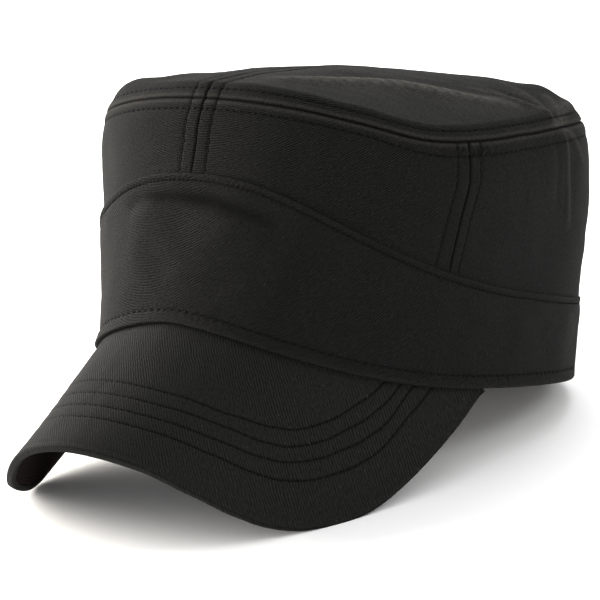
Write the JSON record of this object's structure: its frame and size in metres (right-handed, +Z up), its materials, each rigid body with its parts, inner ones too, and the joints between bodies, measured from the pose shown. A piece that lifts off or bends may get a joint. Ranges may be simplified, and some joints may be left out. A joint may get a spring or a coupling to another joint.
{
  "type": "flat-top cap",
  "caption": "Black cloth flat-top cap with a soft-edged oval top, a wide wave-topped band and a curved peak with stitched rows.",
  "frame": {"origin": "on the floor below the middle of the cap's box, the cap standing on the two low corners of its peak and the heel of its band", "axes": "+Z up, -Y towards the front of the cap, +X towards the wearer's left"},
  "size_m": [0.1724, 0.2696, 0.1497],
  "materials": {
    "crown_cloth": "black fine twill, matt with a faint sheen",
    "band_cloth": "black fine ribbed twill, matt with a faint sheen",
    "peak_cloth": "black fine twill stretched over a stiff peak, matt with a faint sheen",
    "peak_under_cloth": "black fine twill, matt"
  },
  "bodies": {
    "root": {"crown_top_left": "crown_cloth", "crown_top_right": "crown_cloth", "crown_front_left": "crown_cloth", "crown_front_right": "crown_cloth", "crown_back": "crown_cloth", "band": "band_cloth", "peak_top": "peak_cloth", "peak_under": "peak_under_cloth"}
  },
  "joints": []
}
